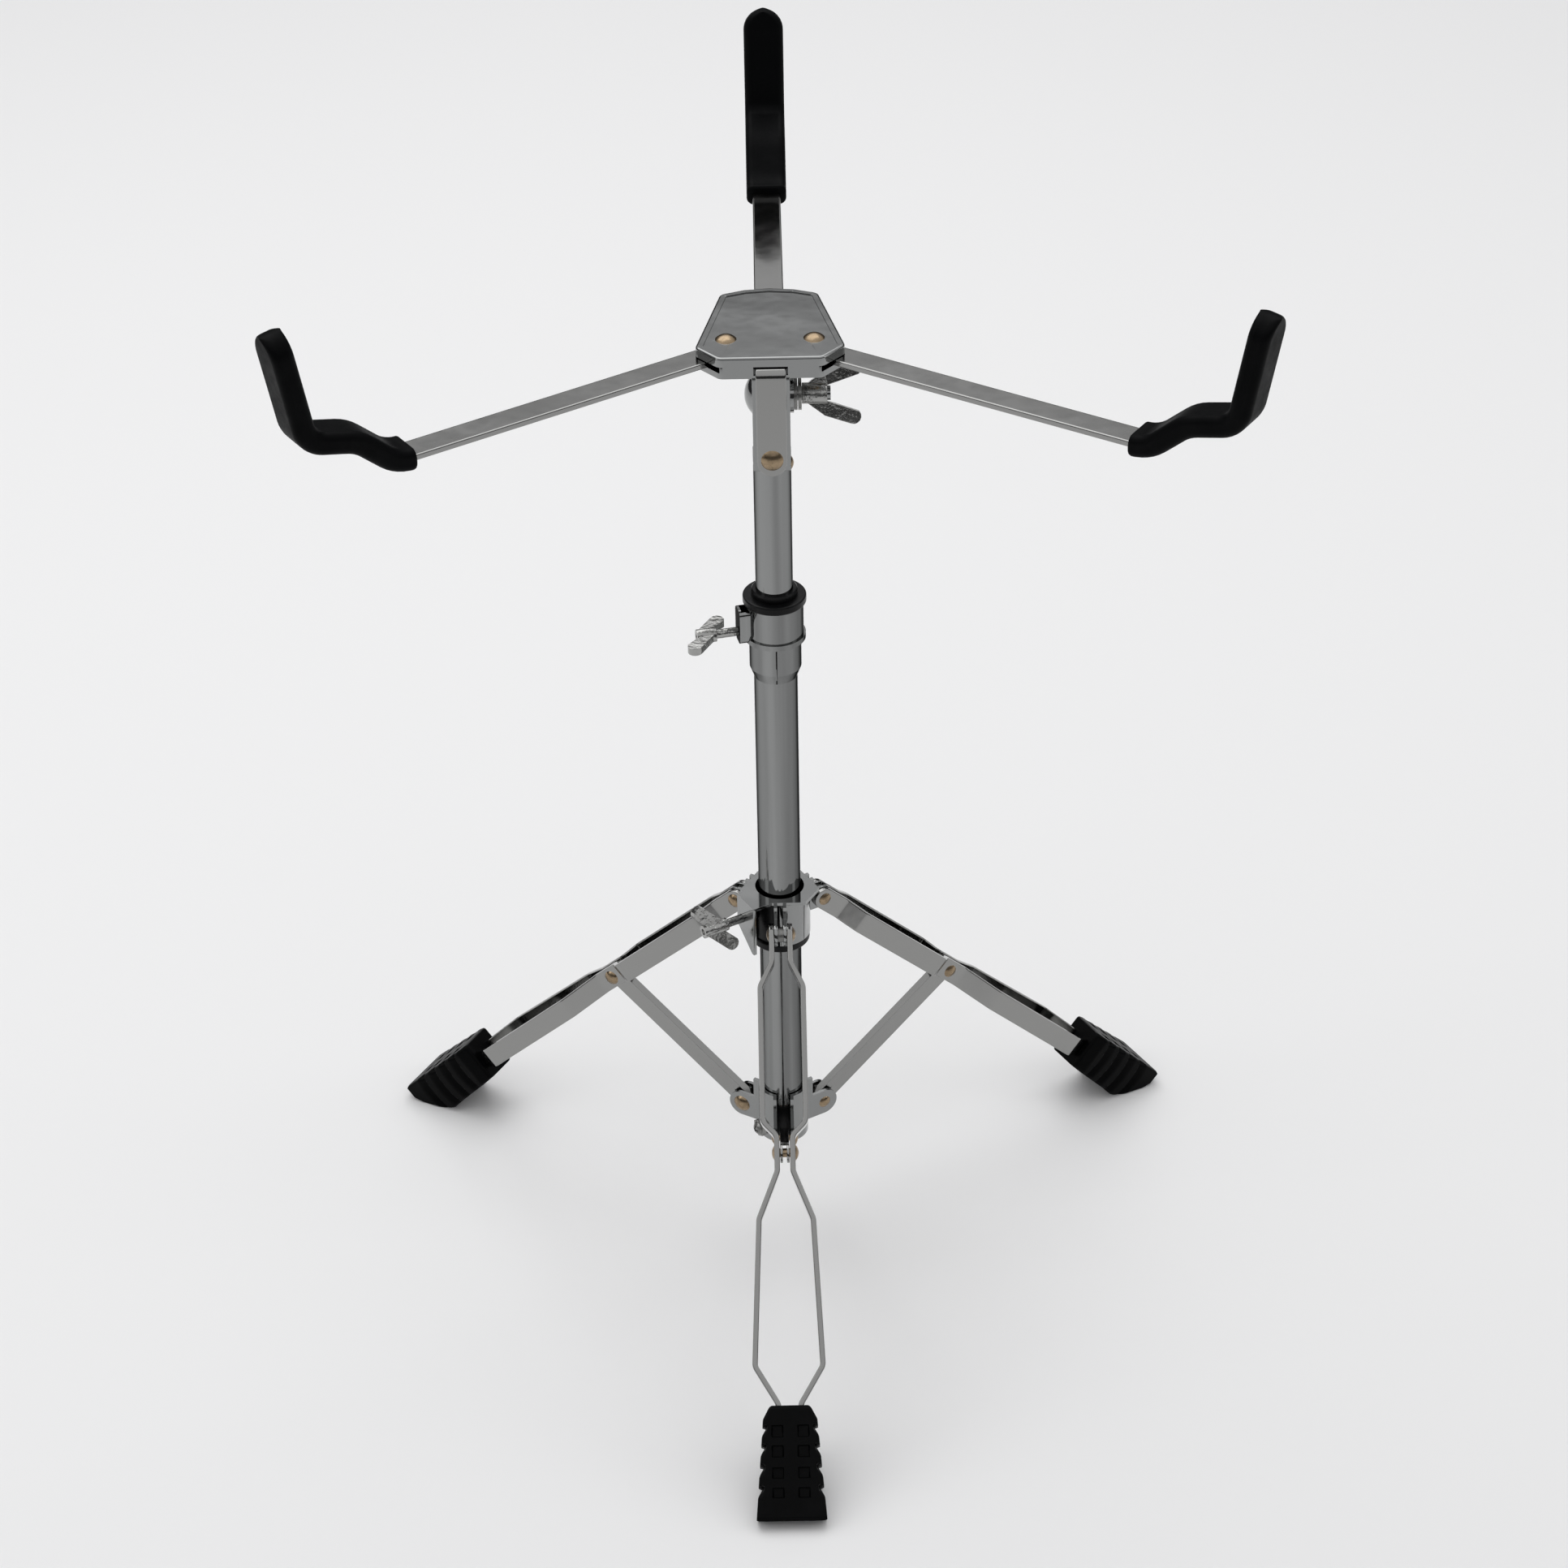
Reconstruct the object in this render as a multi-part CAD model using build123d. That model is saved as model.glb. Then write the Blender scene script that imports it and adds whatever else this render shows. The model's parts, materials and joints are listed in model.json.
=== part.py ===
from build123d import *
import math
import os

# Snare drum stand with a double-strap folding tripod, a telescoping post, a tilter
# and a three-arm basket. Millimetres, +Z up, origin on the ground under the post.
# The front leg points along -Y, and the fixed basket arm points along +Y.

os.makedirs("parts", exist_ok=True)

# ---------------------------------------------------------------- driving dimensions
LEG_AZIMUTHS = {"front": 270.0, "right": 30.0, "left": 150.0}
FIT = 0.05            # radial running clearance of a pin or shaft
FACE_GAP = 0.1        # gap between flat faces that slide on each other

# post
LOWER_TUBE_R = 9.5
LOWER_TUBE_WALL = 1.2
LOWER_TUBE_BOTTOM_Z = 71.5
HEAD_R = 11.3         # swaged head of the lower tube, which the clamp squeezes
TAPER_BOTTOM_Z = 306.0
TAPER_TOP_Z = 311.0
HEAD_TOP_Z = 342.7
HEAD_SLIT_WIDTH = 0.6
UPPER_TUBE_R = 8.0
UPPER_TUBE_WALL = 1.2
UPPER_TUBE_BOTTOM_Z = 166.8
UPPER_TUBE_TOP_Z = 416.8

# height clamp
COLLAR_R = 12.4
COLLAR_BOTTOM_Z = 325.0
COLLAR_LIP_TOP_Z = 327.4
COLLAR_LIP_R = 13.3
BUSH_FLANGE_R = 13.7
BUSH_FLANGE_TOP_Z = 346.5
BUSH_STEP_R = 10.0
BUSH_TOP_Z = 349.4
CLAMP_SCREW_AZIMUTH = 193.0
CLAMP_SCREW_Z = 329.8
CLAMP_BOSS_REACH = 16.4

# tripod linkage, measured in the plane of one leg
LEG_PIVOT_R = 20.8
LEG_PIVOT_Z = 180.4
LEG_ANGLE = 44.8      # below horizontal
MID_PIVOT_L = 98.0    # along the leg from its top pivot
BRACE_PIVOT_R = 20.0
BRACE_PIVOT_Z = 61.8
STRAP_WIDTH = 10.2
STRAP_THICK = 2.4
RIVET_R = 2.0

# leg hub that slides on the lower tube
HUB_RING_R = 13.8
HUB_RING_WALL = 1.5
HUB_RING_BOTTOM_Z = 168.5
HUB_PLATE_TOP_Z = 193.0
HUB_PLATE_THICK = 1.6
HUB_BORE_R = 11.0
HUB_EAR_INNER = 1.3   # half the gap between the two ears of one leg
HUB_EAR_THICK = 1.5
HUB_SCREW_AZIMUTH = 210.0
HUB_SCREW_Z = 182.0
HUB_TAB_R = 20.0      # outer face of the bent tab that carries the wing screw
HUB_TAB_START = -4.0  # the tab's two sides, measured across the screw
HUB_TAB_END = 10.3
HUB_TAB_LOW_Z = 167.5

# bracket at the foot of the lower tube
BRACKET_R = 11.6
BRACKET_WALL = 1.6
BRACKET_BOTTOM_Z = 52.0
BRACKET_TOP_Z = 79.0
BRACKET_EAR_INNER = 3.25
BRACKET_EAR_THICK = 1.5
BRACKET_EAR_R = 6.6
BRACKET_PIN_R = 1.6
LOOSE_EYE_R = 3.45    # eye of the two braces whose lower pivot carries the slack
BRACE_WIDTH = 4.0
BRACE_DEPTH = 9.0
BRACE_WALL = 1.1

# basket
TILT_AXIS_Z = 441.7
BASKET_PLATE_TOP_Z = 469.4
BASKET_PLATE_THICK = 1.2
BASKET_RIM_Z = 465.3
FIELD_STEP = 0.4       # how far the field lies below the border
FIELD_INSET = 3.0
PLATE_CORNER_R = 4.0
BASKET_FIELD_Z = BASKET_PLATE_TOP_Z - FIELD_STEP
DISH_FLOOR_TOP_Z = 462.2
DISH_BOTTOM_Z = 459.6
ARM_WIDTH = 12.4
ARM_THICK = 2.6
ARM_Z = 463.6         # mid-plane of the flat part of each arm
ARM_PIVOT_X = 18.0
ARM_PIVOT_Y = -4.0
ARM_FORWARD_ANGLE = 33.4
ARM_SWING = 24.0      # how far each front arm closes towards the front
ARM_RIVET_R = 3.0
SLEEVE_START = 148.0
BEND_START = 155.6
BEND_END = 171.7
SEAT_CORNER_Z = 483.6  # mid-plane of the seat where it meets the upright
SEAT_SLOPE = 15.0      # the seat falls towards the post
CORNER_REACH = 188.0
UPRIGHT_HEIGHT = 42.5
UPRIGHT_LEAN = 10.0
GRIP_THICK = 9.2
GRIP_WIDTH = 17.7
FRONT_STRAP_Y = -22.6  # inner face of the strap that hangs in front of the tilter
FRONT_STRAP_BOTTOM_Z = 416.6
FRONT_RIVET_Z = 424.0
BRACKET_HALF = 7.7
BRACKET_SIDE = 2.0
TONGUE_HALF = BRACKET_HALF - BRACKET_SIDE - FACE_GAP
TILT_BOLT_R = 3.0


# ---------------------------------------------------------------- helpers
def cyl(radius, z0, z1):
    """Upright cylinder on the Z axis between two heights."""
    return Pos(0, 0, (z0 + z1) / 2) * Cylinder(radius, z1 - z0)


def ring(outer, inner, z0, z1):
    return cyl(outer, z0, z1) - cyl(inner, z0 - 1, z1 + 1)


def block(x0, x1, y0, y1, z0, z1):
    centre = Pos((x0 + x1) / 2, (y0 + y1) / 2, (z0 + z1) / 2)
    return centre * Box(x1 - x0, y1 - y0, z1 - z0)


def rod_x(radius, x0, x1, y=0.0, z=0.0):
    return Pos((x0 + x1) / 2, y, z) * Rot(0, 90, 0) * Cylinder(radius, x1 - x0)


def rod_y(radius, y0, y1, x=0.0, z=0.0):
    return Pos(x, (y0 + y1) / 2, z) * Rot(90, 0, 0) * Cylinder(radius, y1 - y0)


def slab(points, thickness):
    """Polygon in XY, extruded half its thickness to each side of the plane."""
    return extrude(make_face(Polyline(*points, close=True)), thickness / 2, both=True)


def ribbon_outline(points, thickness):
    """Closed outline of a strip of even thickness along an open centre line."""
    left, right = [], []
    for i, (x, y) in enumerate(points):
        before = points[max(i - 1, 0)]
        after = points[min(i + 1, len(points) - 1)]
        a = math.atan2(y - before[1], x - before[0]) if i else None
        b = math.atan2(after[1] - y, after[0] - x) if i < len(points) - 1 else a
        a = b if a is None else a
        mid = math.atan2(math.sin(a) + math.sin(b), math.cos(a) + math.cos(b))
        reach = thickness / 2 / math.cos((b - a) / 2)
        left.append((x - reach * math.sin(mid), y + reach * math.cos(mid)))
        right.append((x + reach * math.sin(mid), y - reach * math.cos(mid)))
    return left + right[::-1]


def arc_points(cx, cy, radius, start, end, count=6):
    """Points along an arc, angles in degrees."""
    step = (end - start) / count
    angles = [math.radians(start + step * i) for i in range(count + 1)]
    return [(cx + radius * math.cos(a), cy + radius * math.sin(a)) for a in angles]


def domed_head(radius, height):
    """Shallow dome on Z = 0, bulging up."""
    ball_r = (radius ** 2 + height ** 2) / (2 * height)
    ball = Pos(0, 0, height - ball_r) * Sphere(ball_r)
    return ball & cyl(radius + 1, 0, height + 1)


def rivet(shank_r, grip, head_r, head_h, tail_r=None, tail_h=None):
    """Rivet along Z: shank from -grip/2 to +grip/2, head above, tail below."""
    tail_r = tail_r or head_r
    tail_h = tail_h or head_h
    head = Pos(0, 0, grip / 2) * domed_head(head_r, head_h)
    tail = Pos(0, 0, -grip / 2) * Rot(180, 0, 0) * domed_head(tail_r, tail_h)
    return head + tail + cyl(shank_r, -grip / 2 - 0.01, grip / 2 + 0.01)


def in_leg(shape, along=0.0):
    """From the leg's own frame (X down the leg, Y across it) to the leg plane."""
    return Pos(LEG_PIVOT_R, 0, LEG_PIVOT_Z) * Rot(0, LEG_ANGLE, 0) * Pos(along, 0, 0) * shape


def around(shape, azimuth):
    return Rot(0, 0, azimuth) * shape


def save(shape, name):
    export_step(shape, f"parts/{name}.step")


def swept_wing(root, barrel_r, sweep, reach, tip_r, thickness):
    """One wing in the XZ plane, leaning along X as it rises from its root at the origin."""
    lean = math.degrees(math.atan2(reach, sweep))
    tip_x = sweep - tip_r * math.cos(math.radians(lean))
    tip_z = reach - tip_r * math.sin(math.radians(lean))
    outline = [(root, 0), (root, barrel_r * 0.8)]
    outline += arc_points(tip_x, tip_z, tip_r, lean - 80, lean + 80)
    outline += [(-root, barrel_r * 0.8), (-root, 0)]
    return Rot(90, 0, 0) * slab(outline, thickness)


def wing_screw(shank_r, shank_len, barrel_r, barrel_len, sweep, reach, wing_t):
    """Screw along +X with its tip at 0; one wing leans outward and the other one back."""
    end = shank_len + barrel_len
    body = rod_x(shank_r, 0, shank_len + 1) + rod_x(barrel_r, shank_len, end)
    body -= rod_x(barrel_r * 0.5, end - 1.5, end + 1)
    wing = swept_wing(barrel_len * 0.36, barrel_r, sweep, reach, 3.2, wing_t)
    wings = wing + Rot(0, 180, 0) * wing
    return body + Pos(shank_len + barrel_len / 2, 0, 0) * wings


def wing_nut(bore_r, barrel_r, barrel_len, reach, tip_r, wing_t):
    """Wing nut along +X from 0, with wings that sweep outwards beyond its barrel."""
    barrel = rod_x(barrel_r, 0, barrel_len)
    outline = [(barrel_len * 0.15, 0), (barrel_len * 0.15, barrel_r * 0.8)]
    outline += [(barrel_len * 0.9, tip_r * 0.72)]
    outline += arc_points(reach - 3.2, tip_r - 3.2, 3.2, 110, -40)
    outline += [(barrel_len, barrel_r * 0.75), (barrel_len, 0)]
    wing = Rot(90, 0, 0) * slab(outline, wing_t)
    body = barrel + wing + Rot(180, 0, 0) * wing
    return body - rod_x(bore_r, -1, reach + 1)


# ---------------------------------------------------------------- post
def lower_tube():
    profile = [
        (LOWER_TUBE_R, LOWER_TUBE_BOTTOM_Z), (LOWER_TUBE_R, TAPER_BOTTOM_Z),
        (HEAD_R, TAPER_TOP_Z), (HEAD_R, HEAD_TOP_Z),
        (HEAD_R - LOWER_TUBE_WALL, HEAD_TOP_Z), (HEAD_R - LOWER_TUBE_WALL, TAPER_TOP_Z + 0.5),
        (LOWER_TUBE_R - LOWER_TUBE_WALL, TAPER_BOTTOM_Z + 0.5),
        (LOWER_TUBE_R - LOWER_TUBE_WALL, LOWER_TUBE_BOTTOM_Z),
    ]
    tube = revolve(Plane.XZ * make_face(Polyline(*profile, close=True)), Axis.Z, 360)
    slit = block(8, 13, -HEAD_SLIT_WIDTH / 2, HEAD_SLIT_WIDTH / 2, TAPER_BOTTOM_Z, HEAD_TOP_Z + 1)
    screw_hole = rod_x(2.6, 8, 13, z=CLAMP_SCREW_Z)
    return tube - around(slit, 272) - around(screw_hole, CLAMP_SCREW_AZIMUTH)


def clamp_collar():
    band = ring(COLLAR_R, HEAD_R, COLLAR_BOTTOM_Z, HEAD_TOP_Z)
    band += ring(COLLAR_LIP_R, HEAD_R, COLLAR_BOTTOM_Z, COLLAR_LIP_TOP_Z)
    boss = block(HEAD_R + 0.4, CLAMP_BOSS_REACH, -4.4, 4.4, COLLAR_BOTTOM_Z, HEAD_TOP_Z - 1.5)
    boss = fillet(boss.edges().filter_by(Axis.X), 2.6)
    boss -= rod_x(2.0 + FIT, 8, 20, z=CLAMP_SCREW_Z)
    pocket = block(12.8, 15.4, -3.3, 3.3, CLAMP_SCREW_Z - 3.3, HEAD_TOP_Z + 1)
    band -= around(rod_x(2.6, 8, 14, z=CLAMP_SCREW_Z), CLAMP_SCREW_AZIMUTH)
    return band + around(boss, CLAMP_SCREW_AZIMUTH) - around(pocket, CLAMP_SCREW_AZIMUTH)


def clamp_nut():
    nut = block(12.85, 15.35, -3.2, 3.2, CLAMP_SCREW_Z - 3.2, CLAMP_SCREW_Z + 3.2)
    return around(nut - rod_x(2.0 + FIT, 8, 20, z=CLAMP_SCREW_Z), CLAMP_SCREW_AZIMUTH)


def clamp_bush():
    bore = UPPER_TUBE_R + FIT
    flange = cyl(BUSH_FLANGE_R, HEAD_TOP_Z, BUSH_FLANGE_TOP_Z)
    flange = fillet(flange.edges(), 0.8)
    step = cyl(BUSH_STEP_R, HEAD_TOP_Z, BUSH_TOP_Z)
    step = chamfer(step.edges().sort_by(Axis.Z)[-1], 0.6)
    sleeve = cyl(HEAD_R - LOWER_TUBE_WALL - 0.02, TAPER_TOP_Z + 3, HEAD_TOP_Z + 0.5)
    body = flange + step + sleeve - cyl(bore, 300, 360)
    screw_hole = rod_x(2.6, 7.8, 11, z=CLAMP_SCREW_Z)
    return body - around(screw_hole, CLAMP_SCREW_AZIMUTH)


def clamp_screw():
    screw = wing_screw(2.0, 17.8, 3.2, 8.4, 8.7, 11.5, 3.4)
    return around(Pos(8.4, 0, CLAMP_SCREW_Z) * Rot(-91, 0, 0) * screw, CLAMP_SCREW_AZIMUTH)


def end_plug():
    """Solid core under the lower tube that the bracket plates are clamped to."""
    core = cyl(BRACKET_R - BRACKET_WALL - 0.02, BRACKET_BOTTOM_Z + 1, LOWER_TUBE_BOTTOM_Z)
    core = fillet(core.edges().sort_by(Axis.Z)[0], 3.0)
    core += cyl(LOWER_TUBE_R - LOWER_TUBE_WALL - 0.02, 70, 92)
    return core - around(rod_x(1.8, -2, 12, z=57.0), HUB_SCREW_AZIMUTH)


def upper_tube():
    tube = ring(UPPER_TUBE_R, UPPER_TUBE_R - UPPER_TUBE_WALL, UPPER_TUBE_BOTTOM_Z, UPPER_TUBE_TOP_Z)
    return tube - rod_x(1.5, -9, 9, z=409.5)


def upper_tube_guide():
    """Plastic ring at the hidden lower end that centres one tube in the other."""
    low, top = UPPER_TUBE_BOTTOM_Z - 5, UPPER_TUBE_BOTTOM_Z
    skirt = ring(LOWER_TUBE_R - LOWER_TUBE_WALL - FIT, 5.0, low, top)
    return skirt + ring(UPPER_TUBE_R - UPPER_TUBE_WALL, 5.0, low, top + 14)


# ---------------------------------------------------------------- tripod
# The centre line of one leg strap: distance down the leg and offset from its plane.
STRAP_LINE = [(-6, 4.1), (12.8, 4.1), (24.1, 9.6), (84.4, 9.6), (90.6, 3.5), (106.4, 3.5),
              (127.5, 12.0), (191.5, 14.9), (208.0, 4.9), (240.0, 4.4)]


def leg_strap(side):
    outline = ribbon_outline(STRAP_LINE, STRAP_THICK)
    strap = slab(outline, STRAP_WIDTH)
    side_view = SlotOverall(240 + STRAP_WIDTH, STRAP_WIDTH)
    face = Plane.XZ * Pos(120, 0, 0) * side_view
    strap &= Pos(0, 20, 0) * extrude(face, 40)
    strap -= rod_y(RIVET_R + FIT, 0, 30)
    strap -= rod_y(RIVET_R + 0.01, 0, 30, x=MID_PIVOT_L)
    if side < 0:
        strap = mirror(strap, Plane.XZ)
    return in_leg(strap)


def mid_rivet():
    grip = 2 * 3.5 + STRAP_THICK
    pin = Rot(-90, 0, 0) * rivet(RIVET_R, grip, 3.6, 1.5, 3.2, 1.1)
    return in_leg(pin, MID_PIVOT_L)


# The foot's outline in the leg plane: distance from the post's axis, then height. The sole
# is flat in the middle and rises towards both of its ends.
FOOT_OUTLINE = [(175.6, 41.3), (177.6, 40.1), (209.9, 7.2), (210.6, 5.4), (209.4, 3.4), (205.5, 1.2),
                (200.5, 0.0), (187.5, 0.0), (182.8, 2.2), (178.0, 8.0), (161.6, 26.3)]
# The foot's plan: distance down the leg, then half its width. It has sloping shoulders.
FOOT_PLAN = [(200.0, 9.4), (209.6, 9.4), (214.5, 12.0), (243.0, 14.3), (268.0, 16.3)]


def leg_foot():
    profile = Rot(90, 0, 0) * slab(FOOT_OUTLINE, 40)
    plan = slab(FOOT_PLAN + [(along, -half) for along, half in FOOT_PLAN[::-1]], 60)
    foot = profile & in_leg(plan)
    # two pockets for the strap ends
    for side in (1, -1):
        pocket = slab(ribbon_outline(STRAP_LINE, STRAP_THICK + 0.02), STRAP_WIDTH + 0.04)
        pocket &= block(180, 240.02, 0, 30, -9, 9)
        pocket = mirror(pocket, Plane.XZ) if side < 0 else pocket
        foot -= in_leg(pocket)
    return foot


def brace_eye_line():
    """Brace direction: from the bracket pivot up and out to the mid rivet."""
    mid_r = LEG_PIVOT_R + MID_PIVOT_L * math.cos(math.radians(LEG_ANGLE))
    mid_z = LEG_PIVOT_Z - MID_PIVOT_L * math.sin(math.radians(LEG_ANGLE))
    run, rise = mid_r - BRACE_PIVOT_R, mid_z - BRACE_PIVOT_Z
    return math.hypot(run, rise), math.degrees(math.atan2(rise, run))


BRACE_LENGTH, BRACE_ANGLE = brace_eye_line()


def brace(lower_eye_r):
    """Folded channel, open below, with a rounded eye at each end."""
    side = Pos(BRACE_LENGTH / 2, 0) * SlotOverall(BRACE_LENGTH + BRACE_DEPTH, BRACE_DEPTH)
    body = Plane.XZ * side
    body = Pos(0, BRACE_WIDTH / 2, 0) * extrude(body, BRACE_WIDTH)
    inner = BRACE_WIDTH / 2 - BRACE_WALL
    body -= block(-10, BRACE_LENGTH + 10, -inner, inner, -10, BRACE_DEPTH / 2 - BRACE_WALL)
    body -= rod_y(lower_eye_r, -5, 5)
    body -= rod_y(RIVET_R + FIT, -5, 5, x=BRACE_LENGTH)
    return Pos(BRACE_PIVOT_R, 0, BRACE_PIVOT_Z) * Rot(0, -BRACE_ANGLE, 0) * body


# ---------------------------------------------------------------- leg hub
def leg_hub():
    half_front, flat = 11.5, 14.0
    corners = []
    for azimuth in (30, 150, 270):
        a = math.radians(azimuth)
        for across in (-half_front, half_front):
            x = flat * math.cos(a) - across * math.sin(a)
            y = flat * math.sin(a) + across * math.cos(a)
            corners.append((x, y))
    outline = sorted(corners, key=lambda p: math.atan2(p[1], p[0]))
    plate = Pos(0, 0, HUB_PLATE_TOP_Z - HUB_PLATE_THICK / 2) * slab(outline, HUB_PLATE_THICK)
    hub = plate + ring(HUB_RING_R, HUB_RING_R - HUB_RING_WALL, HUB_RING_BOTTOM_Z, HUB_PLATE_TOP_Z - 1)
    gap = block(0, 20, -7.0, 6.0, HUB_RING_BOTTOM_Z - 1, HUB_PLATE_TOP_Z - HUB_PLATE_THICK)
    hub -= around(gap, 243)
    for azimuth in LEG_AZIMUTHS.values():
        for side in (1, -1):
            y0 = side * HUB_EAR_INNER
            y1 = side * (HUB_EAR_INNER + HUB_EAR_THICK)
            low, high = min(y0, y1), max(y0, y1)
            z0, z1 = LEG_PIVOT_Z - 5.4, LEG_PIVOT_Z + 5.4
            ear = block(12.6, LEG_PIVOT_R, low, high, z0, z1)
            ear += rod_y(5.4, low, high, x=LEG_PIVOT_R, z=LEG_PIVOT_Z)
            ear += block(12.6, 16.5, low, high, LEG_PIVOT_Z, HUB_PLATE_TOP_Z - 1)
            ear -= rod_y(RIVET_R + 0.01, low - 1, high + 1, x=LEG_PIVOT_R, z=LEG_PIVOT_Z)
            hub += around(ear, azimuth)
    # the top plate runs out to a flat tab with one pointed corner, bent down for the screw
    shelf_z = HUB_PLATE_TOP_Z - HUB_PLATE_THICK
    shelf = block(8, HUB_TAB_R, HUB_TAB_START, HUB_TAB_END, shelf_z, HUB_PLATE_TOP_Z)
    tab_outline = [(HUB_TAB_START, HUB_PLATE_TOP_Z), (HUB_TAB_END, HUB_PLATE_TOP_Z),
                   (HUB_TAB_END, HUB_TAB_LOW_Z), (HUB_TAB_END - 1.6, HUB_TAB_LOW_Z),
                   (HUB_TAB_START, HUB_SCREW_Z - 4.6)]
    tab = Plane.YZ * slab(tab_outline, HUB_PLATE_THICK)
    tab = Pos(HUB_TAB_R - HUB_PLATE_THICK / 2, 0, 0) * tab
    hub += around(shelf + tab, HUB_SCREW_AZIMUTH)
    hub -= cyl(HUB_BORE_R, 160, 200)
    return hub - around(rod_x(2.0 + FIT, 11, 25, z=HUB_SCREW_Z), HUB_SCREW_AZIMUTH)


def leg_hub_bush():
    """Nylon ring inside the hub, with a flange below the sheet-metal ring."""
    inner = HUB_RING_R - HUB_RING_WALL
    bush = ring(inner - 0.02, HUB_BORE_R, 166, HUB_PLATE_TOP_Z - HUB_PLATE_THICK - 0.02)
    flange = cyl(HUB_RING_R - 0.4, 164.5, HUB_RING_BOTTOM_Z)
    flange = fillet(flange.edges(), 0.8) - cyl(HUB_BORE_R, 160, 200)
    bush += flange
    return bush - around(rod_x(2.4, 8, 20, z=HUB_SCREW_Z), HUB_SCREW_AZIMUTH)


def leg_hub_nut():
    nut = extrude(RegularPolygon(3.9, 6), 2.4)
    nut = Pos(HUB_TAB_R - HUB_PLATE_THICK - 2.42, 0, HUB_SCREW_Z) * Rot(0, 90, 0) * nut
    return around(nut - rod_x(2.0 + FIT, 8, 25, z=HUB_SCREW_Z), HUB_SCREW_AZIMUTH)


def leg_hub_screw():
    screw = wing_screw(2.0, 16.2, 3.0, 12.0, 8.7, 12.0, 3.4)
    return around(Pos(11.9, 0, HUB_SCREW_Z) * Rot(14, 0, 0) * screw, HUB_SCREW_AZIMUTH)


def leg_hub_rivets():
    grip = 2 * (4.1 + STRAP_THICK / 2) + 2 * FACE_GAP
    pins = []
    for azimuth in LEG_AZIMUTHS.values():
        pin = Pos(LEG_PIVOT_R, 0, LEG_PIVOT_Z) * Rot(-90, 0, 0) * rivet(RIVET_R, grip, 3.4, 1.4, 3.0, 1.0)
        pins.append(around(pin, azimuth))
    return Compound(children=pins)


def leg_hub_spacers():
    half = HUB_EAR_INNER
    spacers = []
    for azimuth in LEG_AZIMUTHS.values():
        barrel = rod_y(3.4, -half, half) - rod_y(RIVET_R + 0.01, -half - 1, half + 1)
        spacers.append(around(Pos(LEG_PIVOT_R, 0, LEG_PIVOT_Z) * barrel, azimuth))
    return Compound(children=spacers)


# ---------------------------------------------------------------- bottom bracket
def bracket_plate(azimuth):
    """One of three pressed plates: a third of a round wall with an ear at each end."""
    outer, inner = BRACKET_R, BRACKET_R - BRACKET_WALL
    wall = ring(outer, inner, BRACKET_BOTTOM_Z, BRACKET_TOP_Z)
    ear_inner, ear_outer = BRACKET_EAR_INNER, BRACKET_EAR_INNER + BRACKET_EAR_THICK
    keep = None
    for leg in (azimuth - 60, azimuth + 60):
        side = 1 if leg < azimuth else -1
        low, high = sorted((side * ear_inner, side * ear_outer))
        z0, z1 = BRACE_PIVOT_Z - BRACKET_EAR_R, BRACE_PIVOT_Z + BRACKET_EAR_R
        ear = block(inner, BRACE_PIVOT_R, low, high, z0, z1)
        ear += rod_y(BRACKET_EAR_R, low, high, x=BRACE_PIVOT_R, z=BRACE_PIVOT_Z)
        ear += block(inner, inner + 3.4, low, high, z1 - 1, BRACKET_TOP_Z)
        ear -= rod_y(BRACKET_PIN_R + 0.01, low - 1, high + 1, x=BRACE_PIVOT_R, z=BRACE_PIVOT_Z)
        cut = block(-30, 30, 0, 40, 0, 200) if side < 0 else block(-30, 30, -40, 0, 0, 200)
        wall -= around(Pos(0, side * ear_inner, 0) * cut, leg)
        keep = around(ear, leg) if keep is None else keep + around(ear, leg)
    plate = wall + keep
    if azimuth == HUB_SCREW_AZIMUTH:
        plate -= around(rod_x(1.8, 5, 20, z=57.0), azimuth)
    return plate


def bottom_rivets():
    grip = 2 * (BRACKET_EAR_INNER + BRACKET_EAR_THICK)
    pins = []
    for azimuth in LEG_AZIMUTHS.values():
        pin = rivet(BRACKET_PIN_R, grip, 4.2, 1.8, 3.0, 1.2)
        turned = Pos(BRACE_PIVOT_R, 0, BRACE_PIVOT_Z) * Rot(-90, 0, 0) * pin
        pins.append(around(turned, azimuth))
    return Compound(children=pins)


def bracket_screw():
    """Cross-head screw that holds the bracket plates to the plug."""
    head = Rot(0, 90, 0) * domed_head(3.4, 1.9)
    screw = rod_x(1.75, 1.0, 14.1) + Pos(14.0, 0, 0) * head
    cross = block(15.0, 17, -1.9, 1.9, -0.4, 0.4) + block(15.0, 17, -0.4, 0.4, -1.9, 1.9)
    return around(Pos(0, 0, 57.0) * (screw - cross), HUB_SCREW_AZIMUTH)


def bracket_nut():
    nut = extrude(RegularPolygon(4.4, 6), 2.3)
    nut = Pos(BRACKET_R + 0.05, 0, 57.0) * Rot(0, 90, 0) * nut
    return around(nut - rod_x(1.8, 5, 20, z=57.0), HUB_SCREW_AZIMUTH)


# ---------------------------------------------------------------- tilter
def tilter_plug():
    spigot = cyl(UPPER_TUBE_R - UPPER_TUBE_WALL - 0.02, 396, UPPER_TUBE_TOP_Z + 2)
    neck = block(-TONGUE_HALF, TONGUE_HALF, -7.2, 7.2, UPPER_TUBE_TOP_Z + 0.05, TILT_AXIS_Z)
    neck &= cyl(UPPER_TUBE_R, 410, 450)
    tongue = rod_x(7.6, -TONGUE_HALF, TONGUE_HALF, z=TILT_AXIS_Z)
    plug = spigot + neck + tongue - rod_x(TILT_BOLT_R + 0.01, -9, 9, z=TILT_AXIS_Z)
    return plug - rod_x(1.51, -9, 9, z=409.5)


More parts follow.
